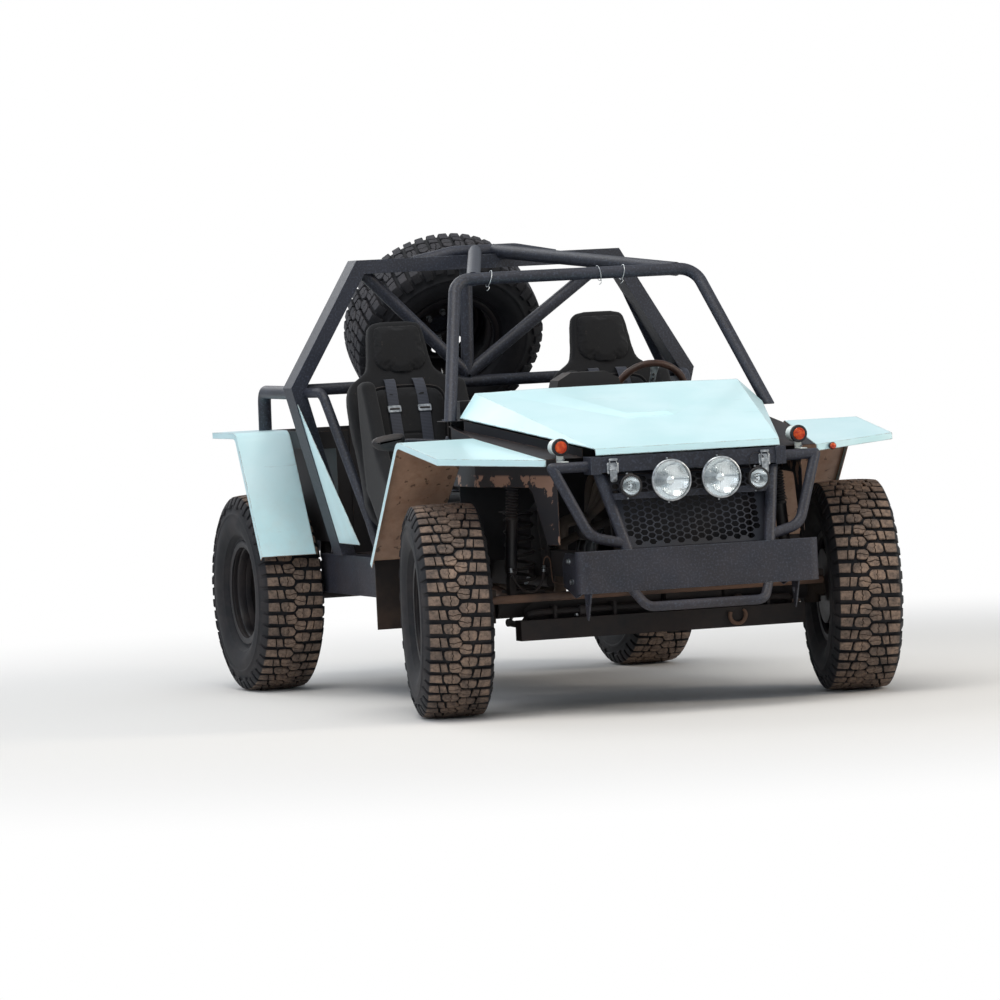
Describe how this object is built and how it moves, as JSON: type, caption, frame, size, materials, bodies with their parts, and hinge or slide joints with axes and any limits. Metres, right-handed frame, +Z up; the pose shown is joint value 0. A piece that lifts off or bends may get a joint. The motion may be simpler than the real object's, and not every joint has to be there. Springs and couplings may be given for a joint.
{
  "type": "dune buggy",
  "caption": "Open two-seat dune buggy with a tube and box frame, leaning spare wheel, front bull bar and bolt-on fenders.",
  "frame": {"origin": "on the ground, at the middle of the overall width and length", "axes": "+X to the driver's side (the vehicle's left), -Y forward, +Z up"},
  "size_m": [2.1192, 3.7198, 1.9324],
  "materials": {
    "frame_paint": "textured charcoal powder coat",
    "body_paint": "pale ice-blue gloss, dusty below",
    "dark_panel": "dark satin, dusty",
    "underbody": "black chassis paint with brown dust",
    "worn_steel": "bright steel",
    "cast": "dusty cast iron",
    "chrome": "bright reflector bowl",
    "clear_glass": "clear fluted lens",
    "amber": "amber lens",
    "white_plastic": "white lamp body",
    "black_plastic": "black moulded plastic",
    "rim_paint": "black steel wheel",
    "tyre_rubber": "black rubber with tan dust",
    "flap_rubber": "black rubber",
    "seat_cloth": "black knitted cloth",
    "grip_leather": "dark brown grip"
  },
  "bodies": {
    "chassis": {"bonnet_latches": "worn_steel", "bull_bar": "frame_paint", "bumper": "frame_paint", "chassis_frame": "underbody", "dash_panel": "black_plastic", "door_tubes": "frame_paint", "engine_block": "cast", "exhaust": "worn_steel", "floor_tub": "dark_panel", "front_axle": "underbody", "front_fenders": "body_paint", "fuel_tank": "underbody", "grille": "dark_panel", "hoop_braces": "frame_paint", "indicator_cups": "white_plastic", "indicator_lenses": "amber", "inner_wings": "dark_panel", "lamp_cups": "chrome", "lamp_lenses": "clear_glass", "main_hoop": "frame_paint", "mirrors": "black_plastic", "mudflaps": "flap_rubber", "nose_crossmember": "frame_paint", "prop_shafts": "underbody", "radiator": "cast", "rear_axle": "underbody", "rear_body": "dark_panel", "rear_bumper": "frame_paint", "rear_fenders": "body_paint", "rear_frame": "frame_paint", "roof_tubes": "frame_paint", "seat_frames": "underbody", "seat_left": "seat_cloth", "seat_right": "seat_cloth", "shock_towers": "underbody", "shocks": "worn_steel", "side_panels": "body_paint", "sills": "frame_paint", "spare_rim": "rim_paint", "spare_tyre": "tyre_rubber", "springs": "underbody", "steering_column": "underbody", "suspension_links": "underbody", "windscreen_frame": "frame_paint"},
    "bonnet": {"bonnet": "body_paint"},
    "steering_wheel": {"steering_wheel": "grip_leather"},
    "knuckle_left": {"knuckle_left": "cast"},
    "knuckle_right": {"knuckle_right": "cast"},
    "tie_rod": {"tie_rod": "underbody"},
    "wheel_front_left": {"rim_front_left": "rim_paint", "tyre_front_left": "tyre_rubber"},
    "wheel_front_right": {"rim_front_right": "rim_paint", "tyre_front_right": "tyre_rubber"},
    "wheel_rear_left": {"rim_rear_left": "rim_paint", "tyre_rear_left": "tyre_rubber"},
    "wheel_rear_right": {"rim_rear_right": "rim_paint", "tyre_rear_right": "tyre_rubber"}
  },
  "joints": [
    {"name": "bonnet_hinge", "type": "hinge", "parent": "chassis", "child": "bonnet", "pos_m": [0, -0.797, 1.256], "axis": [-1, 0, 0], "range_deg": [0, 65]},
    {"name": "steer_left", "type": "hinge", "parent": "chassis", "child": "knuckle_left", "pos_m": [0.69, -1.2, 0.4225], "axis": [0, 0, 1], "range_deg": [-16, 38]},
    {"name": "steer_right", "type": "hinge", "parent": "chassis", "child": "knuckle_right", "pos_m": [-0.69, -1.2, 0.4225], "axis": [0, 0, 1], "range_deg": [-16, 38]},
    {"name": "tie_rod_eye", "type": "hinge", "parent": "knuckle_left", "child": "tie_rod", "pos_m": [0.65375, -1.38651, 0.4717], "axis": [0, 0, 1], "range_deg": [-38, 16]},
    {"name": "steering_wheel_turn", "type": "hinge", "parent": "chassis", "child": "steering_wheel", "pos_m": [0.362, -0.295, 1.192], "axis": [0, 0.9135, 0.4067], "range_deg": [-256, 608]},
    {"name": "wheel_front_left_spin", "type": "hinge", "parent": "knuckle_left", "child": "wheel_front_left", "pos_m": [0.84706, -1.23053, 0.4225], "axis": [0.9816, -0.1908, 0], "continuous": true},
    {"name": "wheel_front_right_spin", "type": "hinge", "parent": "knuckle_right", "child": "wheel_front_right", "pos_m": [-0.84706, -1.16947, 0.4225], "axis": [0.9816, -0.1908, 0], "continuous": true},
    {"name": "wheel_rear_left_spin", "type": "hinge", "parent": "chassis", "child": "wheel_rear_left", "pos_m": [0.85, 1.3, 0.4225], "axis": [1, 0, 0], "continuous": true},
    {"name": "wheel_rear_right_spin", "type": "hinge", "parent": "chassis", "child": "wheel_rear_right", "pos_m": [-0.85, 1.3, 0.4225], "axis": [1, 0, 0], "continuous": true}
  ],
  "couplings": [
    {"joint": "steer_right", "follows": "steer_left", "ratio": 1},
    {"joint": "tie_rod_eye", "follows": "steer_left", "ratio": -1},
    {"joint": "steering_wheel_turn", "follows": "steer_left", "ratio": 16}
  ]
}
